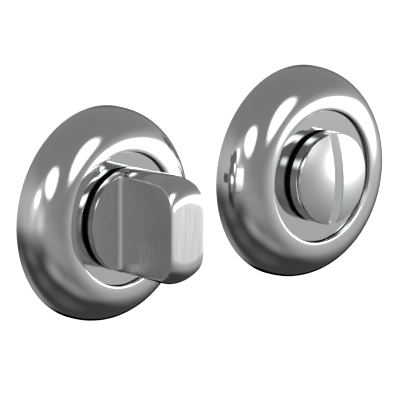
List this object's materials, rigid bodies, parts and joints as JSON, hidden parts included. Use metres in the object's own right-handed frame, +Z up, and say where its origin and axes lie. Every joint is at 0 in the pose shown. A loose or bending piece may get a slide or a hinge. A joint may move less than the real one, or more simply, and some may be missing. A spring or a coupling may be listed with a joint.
{
  "type": "bathroom thumb turn lock",
  "caption": "Bathroom thumb turn lock set: round domed roses in polished chrome, one with a waisted thumb turn and square spindle, one with a coin-slot emergency release.",
  "frame": {"origin": "where the thumb turn's axis meets the door face, in the plane of both roses' backs", "axes": "+X from the thumb turn to the coin release, -Y out of the door along both axes, +Z up"},
  "size_m": [0.1186, 0.0518, 0.052],
  "materials": {
    "chromed_brass": "bright polished chrome plate on a pressed brass cover",
    "mirror_chrome": "mirror-polished chrome plate on a flat turned disc",
    "chromed_knob": "bright polished chrome plate on a turned and milled brass knob, finely brushed on its end",
    "cast_zinc": "dull grey die-cast zinc alloy, as cast",
    "black_nylon": "matt black moulded nylon",
    "plated_steel": "zinc-plated drawn and turned steel",
    "spring_steel": "oiled spring steel strip and wire",
    "black_oxide_steel": "black oxide on a hardened steel screw"
  },
  "bodies": {
    "roses": {"turn_rose_cover": "chromed_brass", "turn_base_plate": "cast_zinc", "turn_face_disc": "mirror_chrome", "turn_bush": "black_nylon", "turn_spring_washer": "spring_steel", "turn_thrust_washer": "plated_steel", "turn_cover_clip": "spring_steel", "turn_disc_screws": "plated_steel", "release_rose_cover": "chromed_brass", "release_base_plate": "cast_zinc", "release_face_disc": "mirror_chrome", "release_bush": "black_nylon", "release_spring_washer": "spring_steel", "release_thrust_washer": "plated_steel", "release_cover_clip": "spring_steel", "release_disc_screws": "plated_steel", "release_threaded_posts": "plated_steel"},
    "turn": {"thumb_turn": "chromed_knob", "spindle": "plated_steel", "spindle_grub_screw": "black_oxide_steel", "turn_circlip": "spring_steel"},
    "release": {"coin_release": "chromed_knob", "release_circlip": "spring_steel"}
  },
  "joints": [
    {"name": "thumb_turn_hinge", "type": "hinge", "parent": "roses", "child": "turn", "pos_m": [0, 0, 0], "axis": [0, -1, 0], "range_deg": [-90, 90]},
    {"name": "coin_release_hinge", "type": "hinge", "parent": "roses", "child": "release", "pos_m": [0.06655, 0, 0], "axis": [0, -1, 0], "range_deg": [-90, 90]}
  ]
}
